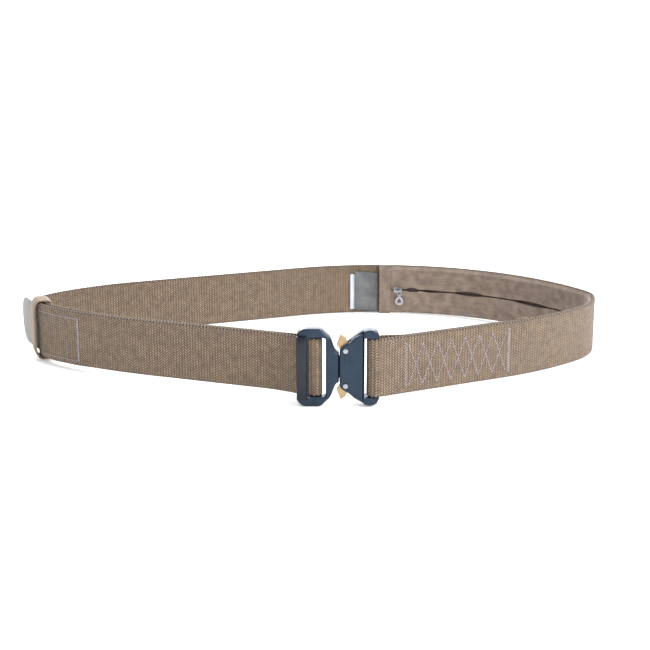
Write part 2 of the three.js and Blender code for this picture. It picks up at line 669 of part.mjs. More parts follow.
// The housing is milled from one block: the back plate, the side walls and the fixed bar. The
// cover closes the space in which the clips swing and the tongue slides.
function addFemaleHalf() {
  const coverBack = -BUCKLE.halfDepth + PLATE.thickness;
  const floor = BUCKLE.halfDepth - PLATE.thickness;
  const block = plate(roundedOutline(mirrored(FEMALE_OUTLINE), CORNER.female), -BUCKLE.halfDepth,
    BUCKLE.halfDepth, BUCKLE.chamfer);
  const holes = [1, -1].map((side) => (
    postAlongY(RIVET.x, side * RIVET.z, RIVET.hole, -BEYOND, BEYOND)
  ));
  const rooms = ROOMS.map(({ x, z }) => box(-BEYOND, x, ROOM_FRONT, floor, -z, z));
  const body = cut(
    block,
    box(-BEYOND, COVER_CORNER[0] + GAP, -BEYOND, coverBack + GAP, -BEYOND, BEYOND),
    ...rooms,
    box(SLOT.left, BEYOND, -BEYOND, BEYOND, -SLOT.halfHeight, SLOT.halfHeight),
    ...holes,
  );
  const bar = roundBar(FIXED_BAR, SLOT.halfHeight + BAR_EMBED);
  addPiece(buckle, 'female_housing', joined(body, bar), 'anodised');

  const coverOutline = mirrored([...FEMALE_OUTLINE.slice(0, 4), COVER_CORNER]);
  const cover = plate(roundedOutline(coverOutline, CORNER.cover), -BUCKLE.halfDepth, coverBack,
    PLATE.chamfer);
  addPiece(buckle, 'female_cover', cut(cover, ...holes), 'anodised');

  for (const [side, sign] of [['upper', 1], ['lower', -1]]) {
    const clipShape = roundedOutline(CLIP_OUTLINE.map(([x, z]) => [x, sign * z]), CORNER.clip);
    const clip = plate(clipShape, -MECHANISM.halfDepth, MECHANISM.halfDepth);
    const pivotHole = postAlongY(RIVET.x, sign * RIVET.z, RIVET.clearance, -BEYOND, BEYOND);
    addPiece(buckle, `clip_${side}`, cut(clip, pivotHole), 'clip');

    const reach = BUCKLE.halfDepth + GAP;
    const headFrom = reach - RIVET.overlap;
    const headTo = reach + RIVET.headDepth;
    const rivet = joined(
      postAlongY(RIVET.x, sign * RIVET.z, RIVET.radius, -reach, reach),
      postAlongY(RIVET.x, sign * RIVET.z, RIVET.head, -headTo, -headFrom),
      postAlongY(RIVET.x, sign * RIVET.z, RIVET.head, headFrom, headTo),
    );
    addPiece(buckle, `rivet_${side}`, rivet, 'steel');
    addPiece(buckle, `clip_spring_${side}`, clipSpring(sign), 'steel');
  }
}

// A short compression spring between a clip's inner end and the housing wall.
function clipSpring(sign) {
  const spring = { x: 9.6, bottom: 14.75, top: 17.1, radius: 0.9, wire: 0.2, turns: 3.5,
    stepsPerTurn: 12, wireSegments: 3 };
  class Helix extends THREE.Curve {
    getPoint(share, target = new THREE.Vector3()) {
      const angle = share * spring.turns * 2 * Math.PI;
      const height = THREE.MathUtils.lerp(spring.bottom, spring.top, share);
      return target.set(spring.x + spring.radius * Math.cos(angle),
        spring.radius * Math.sin(angle), sign * height);
    }
  }
  const section = new THREE.Shape();
  section.absarc(0, 0, spring.wire, 0, 2 * Math.PI, false);
  return new THREE.ExtrudeGeometry(section, {
    steps: spring.turns * spring.stepsPerTurn,
    curveSegments: spring.wireSegments,
    bevelEnabled: false,
    extrudePath: new Helix(),
  });
}

// ---------------------------------------------------------------- assembly

addStrap();
addTail();
addKeeper();
addPocket();
addZip();
addSlider();
addLabels();
addMaleHalf();
addFemaleHalf();

belt.rotation.x = -LEAN;
belt.position.copy(STAND);

const moneyBelt = new THREE.Group();
moneyBelt.add(belt);
export default moneyBelt;
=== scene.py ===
"""The looks of a webbing money belt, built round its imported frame.

The webbing, pocket fabric, zip, stitches and labels follow the belt's own route seen from above,
as distances s along it, offsets to its outside and heights z, all in millimetres. The buckle and
the zip's slider take their shapes from the frame.
"""
import math
import random

import bmesh
import bpy
import numpy as np
from mathutils import Matrix, Vector


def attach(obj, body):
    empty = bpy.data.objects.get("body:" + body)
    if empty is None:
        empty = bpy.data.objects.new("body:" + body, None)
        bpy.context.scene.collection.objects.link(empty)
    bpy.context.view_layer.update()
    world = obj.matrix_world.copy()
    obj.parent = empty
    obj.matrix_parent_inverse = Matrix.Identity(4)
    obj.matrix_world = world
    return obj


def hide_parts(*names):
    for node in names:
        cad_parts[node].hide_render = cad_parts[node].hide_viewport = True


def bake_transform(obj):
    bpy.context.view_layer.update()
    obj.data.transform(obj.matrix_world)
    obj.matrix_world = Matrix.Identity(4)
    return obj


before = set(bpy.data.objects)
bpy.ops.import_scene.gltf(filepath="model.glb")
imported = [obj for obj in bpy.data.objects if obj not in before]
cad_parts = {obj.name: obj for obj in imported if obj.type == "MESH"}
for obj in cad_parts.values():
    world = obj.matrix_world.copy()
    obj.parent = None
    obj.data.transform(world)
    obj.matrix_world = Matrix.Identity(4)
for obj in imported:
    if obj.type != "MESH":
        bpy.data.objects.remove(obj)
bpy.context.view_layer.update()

# ---------------------------------------------------------------- driving dimensions, millimetres

HEIGHT = 38.0
THICK = 2.2
GAP = 0.3
LAYER = THICK + GAP
MIDDLE = HEIGHT / 2

BUCKLE = (8.2, -107.0)
FIXED_BAR = {"x": 23.6, "y": 0.0, "wrap": 4.3}
ADJUSTER = {"x": -14.3, "y": 1.9, "wrap": 3.2}
START_HEADING = 26.4
END_HEADING = 340.0

# Name, radius (None for a straight stretch) and degrees turned or length. The two stretches
# of length None close the loop.
STRAP_PIECES = [
    ("front_right", None, 93), ("right_shoulder", 216, 19), ("right_side", 54, 39),
    ("right_corner", 25, 35.6), ("zip_arc", 171, 60), ("back_crown", 161, 21.4),
    ("back_left", None, None), ("left_shoulder", 170, 17.4), ("left_side", 106, 12.2),
    ("left_fold", 13.5, 74), ("keeper_arc", 80, 21), ("front_left_arc", 280, 14),
    ("front_left", None, None),
]

# The tail's free end bends away past the strap's left fold. Distances of the tail's own features
# are measured from that fold's end.
FREE_END = {"radius": 150.0, "turn": 15.0}
TAIL = {"start": 5.0, "offset": 3.9, "sewn_to": 40.0, "settle": 20.0, "spread": 34.0}
PULL_TAB = {"thick": 1.1, "offset": 1.95, "height": 34.0, "to": 38.0, "corner": 16.5}
TAIL_SEAM = {"start": 7.0, "end": 44.0, "low": 3.4, "high": 33}
KEEPER = {"wall": 1.4, "width": 14.5, "heading": 290.0, "back": 4.5, "inside": 5.5, "outside": 5.5,
          "end_gap": 1.0}
FOLD = {"to": 97.0, "spread": 24.0}
POCKET = {"start": 110.0, "end": 388.0, "bottom": 0.6, "top": 37.4, "slit": 0.45,
          "offset": 3.6, "thick": 0.6}
STRIP = {"offset": 4.65, "thick": 0.7, "width": 9.0}
ZIP = {"start": 236.0, "end": 384.0}
LABEL_START = 393.3
FLEX = 75.0  # length of the strap's left bend, built as a piece of its own; the real bend gives as the buckle is pulled apart

# Heights of the seams along the pocket; the hem is the fold over the zip's upper side.
SEAM = {"top": 34.8, "bottom": 3.2, "above_zip": 26.0, "below_zip": 12.0, "hem": 24.8}
# Where the pocket's edges are sewn down: the bend's start and width, and how far each piece moves.
SEWN = {"top": 34.9, "bottom": 3.1, "width": 2.2, "panel": 1.9, "strip": 2.2}
STRIP_SEAM = {"from_middle": 3.2, "low": 3.4, "high": 34.6}
BOX_SEAM = {"start": 21, "end": 95, "low": 5, "high": 32, "strokes": 7}
COIL = {"start": 4, "end": 3, "offset": 1.9, "height": 0.72, "pitch": 1.2, "radius": 0.42,
        "wire": 0.17}
TAPE = {"near": 1.6, "far": 7.6, "offset": 1.75, "thick": 0.5}
LEFT_BAR_EDGE = -19.6  # right side of the buckle's left bar, from the buckle's middle
CAMERA = {"place": (0.0, -933.0, 267.5), "pitch": 15.0, "lens": 75.43, "sensor": 36.0}

RIB = 2.0  # pitch of the webbing's ribs
PICK = 1.8  # pitch of the weave up a rib
EDGE_CORD = 2.4  # pitch of the cords over the webbing's edge
LEAN = math.radians(1.7)
STAND = Vector((14.0, 2.72, 3.42))
TO_ROW = Matrix.Translation(STAND) @ Matrix.Rotation(-LEAN, 4, "X")
METRES = 0.001
EDGE_ANGLES = np.radians(np.array([30.0, 60.0, 90.0, 120.0, 150.0]))  # round a strip's edge
RELIEF = {"rib": 0.08, "pick": 0.06, "cord": 0.3}  # how far the weave stands out
KEEPER_SPACING = 1.5  # of the points round the keeper
STITCH = {"turn": 0.07, "sink": -0.03, "rise": 0.05, "end": 0.35}  # unevenness and blunt ends
# Distances of the threads' middles: from the webbing's face, the panel's face and the strip's
# middle line.
THREAD_LIFT = {"webbing": 0.16, "panel": 0.12, "strip": 0.45}
# How a metal part's edges are eased, with angles in degrees.
EASING = {"weld": 1e-6, "flat": 1.5, "segments": 3, "edge": 35, "sharp": 38}

# ---------------------------------------------------------------- the route seen from above


class Route:
    """A chain of straight and round stretches. A negative radius turns right."""

    def __init__(self, start, heading, pieces):
        self.parts = []
        x, y = start
        heading = math.radians(heading)
        at = 0.0
        for name, radius, amount in pieces:
            length = abs(radius) * math.radians(amount) if radius else (amount or 0.0)
            self.parts.append((name, radius, length, x, y, heading, at))
            xs, ys, headings = self._on_part(self.parts[-1], np.array([length]))
            x, y, heading = float(xs[0]), float(ys[0]), float(headings[0])
            at += length
        self.end = (x, y)
        self.length = at
        self.starts = np.array([part[6] for part in self.parts])

    @staticmethod
    def _on_part(part, along):
        _, radius, _, x, y, heading, _ = part
        if not radius:
            return x + along * math.cos(heading), y + along * math.sin(heading), heading + 0 * along
        headings = heading + along / radius
        centre_x = x - radius * math.sin(heading)
        centre_y = y + radius * math.cos(heading)
        return centre_x + radius * np.sin(headings), centre_y - radius * np.cos(headings), headings

    def start_of(self, name):
        return next(part[6] for part in self.parts if part[0] == name)

    def points(self, s, offset):
        """x, y at distances s, moved by offset to the route's right."""
        s, offset = np.broadcast_arrays(np.asarray(s, float), np.asarray(offset, float))
        x, y, headings = np.empty(s.shape), np.empty(s.shape), np.empty(s.shape)
        which = np.clip(np.searchsorted(self.starts, s, side="right") - 1, 0, len(self.parts) - 1)
        for index, part in enumerate(self.parts):
            here = which == index
            x[here], y[here], headings[here] = self._on_part(part, s[here] - part[6])
        return x + offset * np.sin(headings), y - offset * np.cos(headings)


def leaving_point(bar, heading, side):
    angle = math.radians(heading)
    return (BUCKLE[0] + bar["x"] + side * bar["wrap"] * math.sin(angle),
            BUCKLE[1] + bar["y"] - side * bar["wrap"] * math.cos(angle))


def closed_strap():
    """The strap's route, its two closing stretches as long as it takes to meet the adjuster."""
    start = leaving_point(FIXED_BAR, START_HEADING, 1)
    end = leaving_point(ADJUSTER, END_HEADING, -1)
    draft = Route(start, START_HEADING, STRAP_PIECES)
    closing = [part for part in draft.parts if part[1] is None and part[2] == 0.0]
    ways = np.array([[math.cos(part[5]) for part in closing],
                     [math.sin(part[5]) for part in closing]])
    missing = np.array(end) - np.array(draft.end)
    lengths = dict(zip([part[0] for part in closing], np.linalg.solve(ways, missing)))
    pieces = [(name, radius, lengths.get(name, amount)) for name, radius, amount in STRAP_PIECES]
    return Route(start, START_HEADING, pieces), lengths


strap, closing_lengths = closed_strap()
fold_start = strap.start_of("keeper_arc")


def tail_route():
    """Outside the strap's last stretch, and on past the fold in a wide bend of its own."""
    _, _, _, x, y, heading, _ = next(part for part in strap.parts if part[0] == "keeper_arc")
    free = ("free_end", FREE_END["radius"], FREE_END["turn"])
    heading = math.degrees(heading) - FREE_END["turn"]
    reach_x, reach_y = Route((0.0, 0.0), heading, [free]).end
    along_strap = [piece for piece in STRAP_PIECES if piece[0] in ("keeper_arc", "front_left_arc")]
    last = ("front_left", None, closing_lengths["front_left"])
    return Route((x - reach_x, y - reach_y), heading, [free, *along_strap, last])


tail = tail_route()
tail_reach = tail.start_of("keeper_arc")
buckle_turn = Route(
    leaving_point(FIXED_BAR, START_HEADING + 180, 1), START_HEADING + 180,
    [("turn", FIXED_BAR["wrap"], 180)])
adjuster_turn = Route(strap.end, END_HEADING, [("turn", -ADJUSTER["wrap"], 180)])


def smooth(share):
    share = np.clip(share, 0, 1)
    return share * share * (3 - 2 * share)


def to_row(x, y, z):
    """Rows of points in the row frame, in metres."""
    points = np.stack([np.ravel(x), np.ravel(y), np.ravel(z)], axis=1)
    turned = points @ np.array(TO_ROW.to_3x3()).T + np.array(STAND)
    return turned * METRES


# ---------------------------------------------------------------- meshes


def add_object(name, points, faces, material, weave=None):
    mesh = bpy.data.meshes.new(name)
    mesh.from_pydata(points.tolist(), [], faces)
    mesh.polygons.foreach_set("use_smooth", [True] * len(mesh.polygons))
    if weave is not None:
        attribute = mesh.attributes.new("weave", "FLOAT_VECTOR", "POINT")
        attribute.data.foreach_set("vector", weave.astype(np.float32).ravel())
    mesh.materials.append(material)
    mesh.update()
    piece = bpy.data.objects.new(name, mesh)
    bpy.context.scene.collection.objects.link(piece)
    return piece


def value_at(given, s):
    return given(s) if callable(given) else np.full(s.shape, float(given))


def grid_faces(stations, around):
    """Quads of a closed tube of sections, with a cap at each end."""
    first = np.arange(stations - 1)[:, None] * around + np.arange(around)[None, :]
    ahead = np.arange(stations - 1)[:, None] * around + (np.arange(around)[None, :] + 1) % around
    quads = np.stack([first, first + around, ahead + around, ahead], axis=-1).reshape(-1, 4)
    caps = [list(range(around)), list(range((stations - 1) * around, stations * around))[::-1]]
    return quads.tolist() + caps


def ribbon(name, route, start, end, material, offset=0.0, thick=THICK, bottom=0.0, top=HEIGHT,
           step=0.4, rows=26, relief=None, squareness=0.5, lean=None):
    """A strip of webbing or fabric on edge: outer face, top edge, inner face, bottom edge.

    relief(s, z, face) moves the surface out by millimetres; face is 1 outside, -1 inside and
    0 on the edges. lean(z) carries both faces outward together.
    """
    s = np.linspace(start, end, max(2, int(round((end - start) / step)) + 1))
    middle, low, high = value_at(offset, s), value_at(bottom, s), value_at(top, s)
    half = thick / 2
    share = np.linspace(0, 1, rows + 1)
    square = np.abs(np.cos(EDGE_ANGLES)) ** squareness * np.sign(np.cos(EDGE_ANGLES))
    round_edge = np.sin(EDGE_ANGLES)
    ends = np.zeros(len(EDGE_ANGLES))
    face_rows = np.ones(rows + 1)
    across = np.concatenate([face_rows, square, -face_rows, -square])
    up_share = np.concatenate([share, ends + 1, share[::-1], ends])
    up = np.concatenate([0 * share, round_edge, 0 * share, -round_edge])
    face = np.concatenate([face_rows, ends, -face_rows, ends])
    s_all, across_all = np.meshgrid(s, across, indexing="ij")
    z = (low[:, None] + half + (high - low - thick)[:, None] * up_share[None, :]
         + half * up[None, :])
    moved = relief(s_all, z, np.broadcast_to(face, z.shape)) if relief else np.zeros(z.shape)
    edge = face == 0
    depth = across_all * half + np.where(edge, 0, moved * across_all)
    z = z + np.where(edge, moved * np.sign(up), 0)
    carried = lean(z) if lean else 0.0
    x, y = route.points(s_all, middle[:, None] + depth + carried)
    weave = np.stack([s_all.ravel(), z.ravel(), np.broadcast_to(face, z.shape).ravel()], axis=1)
    return add_object(name, to_row(x, y, z), grid_faces(len(s), len(across)), material,
                      weave=weave)


def webbing_relief(s, z, face):
    """Upright ribs with picks that slant to and fro, and a corded edge."""
    column = np.floor(s / RIB + 0.5)
    rib = 0.5 + 0.5 * np.cos(2 * math.pi * s / RIB)
    picks = 0.5 + 0.5 * np.cos(2 * math.pi * (z / PICK + 0.5 * np.mod(column, 2)))
    cord = 0.5 + 0.5 * np.cos(2 * math.pi * s / EDGE_CORD)
    return np.where(face == 0, RELIEF["cord"] * (cord - 0.5),
                    RELIEF["rib"] * rib + RELIEF["pick"] * rib * picks)


def joined(name, pieces):
    """One object from several meshes that ride together."""
    for piece in bpy.context.selected_objects:
        piece.select_set(False)
    for piece in pieces:
        piece.select_set(True)
    bpy.context.view_layer.objects.active = pieces[0]
    bpy.ops.object.join()
    pieces[0].name = name
    return pieces[0]


def placed(piece, body, slot, *nodes):
    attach(piece, body)
    if nodes:
        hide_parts(*nodes)
    return piece


# ---------------------------------------------------------------- materials


class Shader:
    """A Principled material and short calls for the nodes that feed it."""

    def __init__(self, name, roughness, metallic=0.0, **sockets):
        self.material = bpy.data.materials.new(name)
        self.material.use_nodes = True
        self.tree = self.material.node_tree
        self.bsdf = self.tree.nodes["Principled BSDF"]
        self.bsdf.inputs["Roughness"].default_value = roughness
        self.bsdf.inputs["Metallic"].default_value = metallic
        for socket, value in sockets.items():
            self.bsdf.inputs[socket.replace("_", " ")].default_value = value

    def put(self, node, index, value):
        if isinstance(value, bpy.types.NodeSocket):
            self.tree.links.new(value, node.inputs[index])
        else:
            node.inputs[index].default_value = value

    def math(self, operation, first, second=0.0):
        node = self.tree.nodes.new("ShaderNodeMath")
        node.operation = operation
        self.put(node, 0, first)
        self.put(node, 1, second)
        return node.outputs[0]

    def wave(self, value):
        """From 0 to 1 and back as value goes up by one."""
        turned = self.math("COSINE", self.math("MULTIPLY", value, 2 * math.pi))
        return self.math("MULTIPLY", self.math("ADD", turned, 1.0), 0.5)

    def weave(self):
        attribute = self.tree.nodes.new("ShaderNodeAttribute")
        attribute.attribute_name = "weave"
        parts = self.tree.nodes.new("ShaderNodeSeparateXYZ")
        self.tree.links.new(attribute.outputs["Vector"], parts.inputs[0])
        return parts.outputs

    def noise(self, scale, detail):
        node = self.tree.nodes.new("ShaderNodeTexNoise")
        node.inputs["Scale"].default_value = scale
        node.inputs["Detail"].default_value = detail
        place = self.tree.nodes.new("ShaderNodeTexCoord").outputs["Object"]
        self.tree.links.new(place, node.inputs["Vector"])
        return node.outputs["Fac"]

    def mix(self, share, first, second):
        node = self.tree.nodes.new("ShaderNodeMix")
        node.data_type = "RGBA"
        self.put(node, 0, share)
        self.put(node, 6, (*first, 1) if isinstance(first, tuple) else first)
        self.put(node, 7, (*second, 1) if isinstance(second, tuple) else second)
        return node.outputs[2]

    def between(self, value, low, high, out_low=0.0, out_high=1.0):
        node = self.tree.nodes.new("ShaderNodeMapRange")
        for index, given in enumerate((value, low, high, out_low, out_high)):
            self.put(node, index, given)
        return node.outputs[0]

    def finish(self, colour, height=None, distance=0.0002, strength=0.6, roughness=None):
        self.tree.links.new(colour, self.bsdf.inputs["Base Color"])
        if height is not None:
            bump = self.tree.nodes.new("ShaderNodeBump")
            bump.inputs["Strength"].default_value = strength
            bump.inputs["Distance"].default_value = distance
            self.tree.links.new(height, bump.inputs["Height"])
            self.tree.links.new(bump.outputs[0], self.bsdf.inputs["Normal"])
        if roughness is not None:
            self.tree.links.new(roughness, self.bsdf.inputs["Roughness"])
        return self.material


# The gap colour is painted shade in the weave's gaps, the bright colour a painted highlight on the
# yarns' tops, and the edge colour painted shade along the webbing's edges.
def webbing_material(name, gap_shade, yarn, bright, edge):
    shader = Shader(name, 0.85, Sheen_Weight=0.15, Sheen_Roughness=0.6)
    s, z, _ = shader.weave()
    column = shader.math("FLOOR", shader.math("ADD", shader.math("DIVIDE", s, RIB), 0.5))
    odd = shader.math("FLOORED_MODULO", column, 2.0)
    rib = shader.wave(shader.math("DIVIDE", s, RIB))
    slant = shader.math("MULTIPLY", shader.math("SUBTRACT", shader.math("DIVIDE", s, RIB), column),
                        shader.math("SUBTRACT", shader.math("MULTIPLY", odd, 2.0), 1.0))
    rise = shader.math("ADD", shader.math("DIVIDE", z, PICK), shader.math("MULTIPLY", odd, 0.5))
    picks = shader.wave(shader.math("ADD", rise, slant))
    height = shader.math("MULTIPLY", shader.math("ADD", shader.math("MULTIPLY", picks, 0.8), 0.2),
                         shader.math("ADD", shader.math("MULTIPLY", rib, 0.5), 0.5))
    uneven = shader.noise(260.0, 2.0)
    shade_height = shader.math("MULTIPLY", height, shader.between(uneven, 0.3, 0.7, 0.75, 1.2))
    # Painted shade in the gaps between the yarns and a painted highlight on the yarns' tops,
    # following the weave's height.
    colour = shader.mix(shader.between(shade_height, 0.1, 0.55), gap_shade, yarn)
    colour = shader.mix(shader.between(shade_height, 0.6, 1.0), colour, bright)
    patches = shader.between(shader.noise(18.0, 3.0), 0.3, 0.7)
    colour = shader.mix(shader.math("MULTIPLY", patches, 0.14), colour, (0.12, 0.09, 0.075))
    # The corded selvedge along both edges: the cords are the weave's own, and their dark edge
    # colour is painted shade.
    from_middle = shader.math("ABSOLUTE", shader.math("SUBTRACT", z, MIDDLE))
    selvedge_shade = shader.between(from_middle, MIDDLE - 1.5, MIDDLE - 0.7)
    cord = shader.wave(shader.math("DIVIDE", s, EDGE_CORD))
    corded_shaded_edge = shader.mix(shader.between(cord, 0.35, 0.75), edge, yarn)
    colour = shader.mix(shader.math("MULTIPLY", selvedge_shade, 0.9), colour, corded_shaded_edge)
    return shader.finish(colour, height, 0.00035, 0.9)


def cloth_material(name, dark, light, pitch, blotch, roughness=0.8):
    """A fine plain weave with blotches, and painted shade in the hollows between its threads."""
    shader = Shader(name, roughness, Sheen_Weight=0.2, Sheen_Roughness=0.5)
    s, z, _ = shader.weave()
    warp = shader.wave(shader.math("DIVIDE", s, pitch))
    weft = shader.wave(shader.math("DIVIDE", z, pitch))
    height = shader.math("MULTIPLY", shader.math("ADD", warp, weft), 0.5)
    patches = shader.between(shader.noise(blotch, 5.0), 0.32, 0.68)
    colour = shader.mix(patches, dark, light)
    # Painted shade: the weave's low parts are darkened towards a near-black brown.
    colour = shader.mix(shader.between(height, 0.0, 0.5, 0.3, 0.0), colour, (0.05, 0.04, 0.035))
    return shader.finish(colour, height, 0.00012, 0.5)


def metal_material(name, dark, light, roughness, metallic):
    """A fine grain in the finish and soft wear in the colour."""
    shader = Shader(name, roughness, metallic)
    fine = shader.noise(900.0, 4.0)
    wear = shader.between(shader.noise(55.0, 6.0), 0.35, 0.7)
    colour = shader.mix(wear, dark, light)
    rough = shader.between(fine, 0.3, 0.7, roughness - 0.06, roughness + 0.08)
    return shader.finish(colour, fine, 0.00003, 0.25, rough)


def thread_material(name, dark, light):
    shader = Shader(name, 0.6, Sheen_Weight=0.2)
    twist = shader.between(shader.noise(1500.0, 2.0), 0.35, 0.65)
    return shader.finish(shader.mix(twist, dark, light), twist, 0.0001, 0.4)


# Colours: painted shade in the weave's gaps, the yarn, a painted highlight on the yarns' tops, and
# painted shade along the edges.
brown_webbing = webbing_material("brown_webbing", (0.050, 0.033, 0.021), (0.200, 0.136, 0.086),
                                 (0.40, 0.285, 0.178), (0.024, 0.016, 0.018))
pocket_cloth = cloth_material("pocket_cloth", (0.165, 0.118, 0.088), (0.27, 0.203, 0.155),
                              pitch=0.45, blotch=170.0)
keeper_cloth = cloth_material("keeper_elastic", (0.225, 0.155, 0.105), (0.34, 0.245, 0.175),
                              pitch=0.7, blotch=90.0)
tab_cloth = cloth_material("pull_tab", (0.235, 0.215, 0.20), (0.32, 0.295, 0.275), pitch=0.6,
                           blotch=60.0)
tape_cloth = cloth_material("zip_tape", (0.20, 0.165, 0.20), (0.30, 0.26, 0.31), pitch=0.6,
                            blotch=80.0)
white_label = cloth_material("white_label", (0.54, 0.57, 0.62), (0.66, 0.69, 0.74), pitch=0.3,
                             blotch=60.0, roughness=0.55)
grey_label = cloth_material("grey_label", (0.090, 0.094, 0.098), (0.165, 0.170, 0.172),
                            pitch=0.3, blotch=110.0, roughness=0.6)
anodised = metal_material("anodised", (0.014, 0.026, 0.046), (0.026, 0.042, 0.068),
                          roughness=0.36, metallic=0.6)
glossy = metal_material("glossy_anodised", (0.003, 0.005, 0.009), (0.008, 0.012, 0.018),
                        roughness=0.14, metallic=0.3)
gold = metal_material("clip_gold", (0.40, 0.275, 0.145), (0.54, 0.385, 0.22),
                      roughness=0.38, metallic=0.6)
steel = metal_material("bright_steel", (0.24, 0.25, 0.27), (0.40, 0.41, 0.43),
                       roughness=0.30, metallic=0.9)
coil_nylon = metal_material("coil_nylon", (0.13, 0.10, 0.12), (0.22, 0.18, 0.20),
                            roughness=0.5, metallic=0.0)
grey_thread = thread_material("grey_thread", (0.22, 0.20, 0.23), (0.44, 0.41, 0.45))
tan_thread = thread_material("tan_thread", (0.15, 0.125, 0.125), (0.30, 0.26, 0.26))
brown_thread = thread_material("brown_thread", (0.10, 0.08, 0.085), (0.20, 0.165, 0.17))

# ---------------------------------------------------------------- webbing


def build_strap():
    corner_end = strap.start_of("zip_arc")
    crown = strap.start_of("back_crown")
    flex_start = fold_start - FLEX
    turn = ribbon("turn", buckle_turn, 0, buckle_turn.length, brown_webbing,
                  relief=webbing_relief)
    front = ribbon("front", strap, 0, corner_end, brown_webbing, relief=webbing_relief)
    placed(joined("webbing_front_right", [front, turn]), "belt", "webbing",
           "strap_buckle_loop", "strap_front_right", "strap_right_bend")
    back = ribbon("webbing_back_right", strap, corner_end, crown, brown_webbing,
                  relief=webbing_relief)
    placed(back, "belt", "webbing", "strap_back_right")
    left = ribbon("webbing_back_left", strap, crown, flex_start, brown_webbing,
                  relief=webbing_relief)
    placed(left, "belt", "webbing", "strap_back_left")
    bend = ribbon("webbing_left_bend", strap, flex_start, fold_start, brown_webbing,
                  relief=webbing_relief)
    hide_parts("strap_left_bend")
    for at in (flex_start, fold_start):
        x, y = strap.points(np.array([at]), 0)
    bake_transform(bend)
    near = ribbon("webbing_front_left", strap, fold_start, strap.length, brown_webbing,
                  relief=webbing_relief)
    placed(near, "male_end", "webbing", "strap_front_left")
    wrap = ribbon("webbing_adjuster_turn", adjuster_turn, 0, adjuster_turn.length, brown_webbing,
                  relief=webbing_relief)
    placed(wrap, "adjuster", "webbing", "strap_adjuster_wrap")
    spread = 2 * FIXED_BAR["wrap"] - LAYER
    fold = ribbon("webbing_fold_end", strap, 0, FOLD["to"], brown_webbing,
                  offset=lambda s: -(LAYER + spread * (1 - smooth(s / FOLD["spread"]))),
                  relief=webbing_relief)
    placed(fold, "belt", "webbing", "strap_fold_end")


def tail_offset(s):
    past_tab = (s - tail_reach - TAIL["sewn_to"]) / TAIL["settle"]
    at_tab = (TAIL["offset"] - LAYER) * (1 - smooth(past_tab))
    at_bar = (2 * ADJUSTER["wrap"] - LAYER) * smooth(
        (s - (tail.length - TAIL["spread"])) / TAIL["spread"])
    return LAYER + at_tab + at_bar


def build_tail():
    webbing = ribbon("webbing_tail", tail, tail_reach + TAIL["start"], tail.length, brown_webbing,
                     offset=tail_offset, relief=webbing_relief)
    placed(webbing, "male_end", "webbing", "tail_webbing")
    lift = (HEIGHT - PULL_TAB["height"]) / 2
    corner = PULL_TAB["corner"]
    fullness = 0.96  # leaves the round end a little narrower than the tab

    def inset(s):
        short = np.clip(corner - s, 0, corner)
        return corner - np.sqrt(np.maximum(corner**2 - short**2, 0.0)) * fullness

    tab = ribbon("pull_tab", tail, 0, tail_reach + PULL_TAB["to"], tab_cloth,
                 offset=PULL_TAB["offset"], thick=PULL_TAB["thick"],
                 bottom=lambda s: lift + inset(s), top=lambda s: HEIGHT - lift - inset(s),
                 step=0.6, rows=24)
    placed(tab, "male_end", "pull_tab", "tail_pull_tab")


def keeper_section():
    """Middle line of the elastic seen along the loop: offset, height and the way out of it.

    The side that the tail presses on hangs in a wide curve, and the side at the strap is squarer.
    """
    half = KEEPER["wall"] / 2
    outer, inner = KEEPER["outside"] + half, -KEEPER["inside"] - half
    low, high = -KEEPER["end_gap"] - half, HEIGHT + KEEPER["end_gap"] + half
    # Each corner's place, the ways inward from it, the reach of its bend and its first angle.
    corners = [(outer, high, -1, -1, 4.6, 9.0, 0), (inner, high, 1, -1, 3.6, 3.2, 90),
               (inner, low, 1, 1, 2.6, 3.0, 180), (outer, low, -1, 1, 4.6, 10.0, 270)]
    quarter = np.radians(np.linspace(0, 90, 13))
    section = []
    for across, height, way_x, way_z, reach_x, reach_z, turn in corners:
        for angle in quarter + math.radians(turn):
            out = Vector((math.cos(angle) / reach_x, math.sin(angle) / reach_z)).normalized()
            section.append((across + way_x * reach_x + reach_x * math.cos(angle),
                            height + way_z * reach_z + reach_z * math.sin(angle), *out))
    return np.array(dense_loop(section, KEEPER_SPACING))


